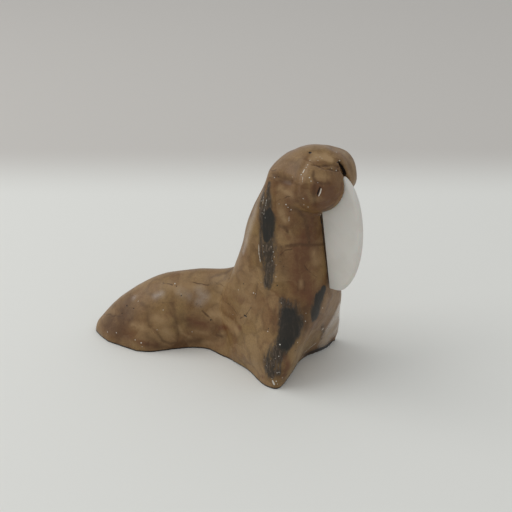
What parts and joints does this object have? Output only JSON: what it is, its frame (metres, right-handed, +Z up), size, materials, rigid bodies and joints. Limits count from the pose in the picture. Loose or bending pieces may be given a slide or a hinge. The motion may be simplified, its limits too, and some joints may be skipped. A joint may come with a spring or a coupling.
{
  "type": "stone walrus figurine",
  "caption": "Solid carved stone walrus, sitting up with its tail swung to one side, with a thin pale plate let into the muzzle as a tusk. Rests on its flat base.",
  "frame": {"origin": "on the flat base, under the torso and midway between the front flippers", "axes": "+X the way the chest faces, +Y the walrus's left, +Z up"},
  "size_m": [0.0957, 0.0453, 0.077],
  "materials": {
    "brown_stone": "rubbed smooth and waxed",
    "white_stone": "rubbed smooth"
  },
  "bodies": {
    "root": {"walrus_body": "brown_stone", "tusk_plate": "white_stone"}
  },
  "joints": []
}
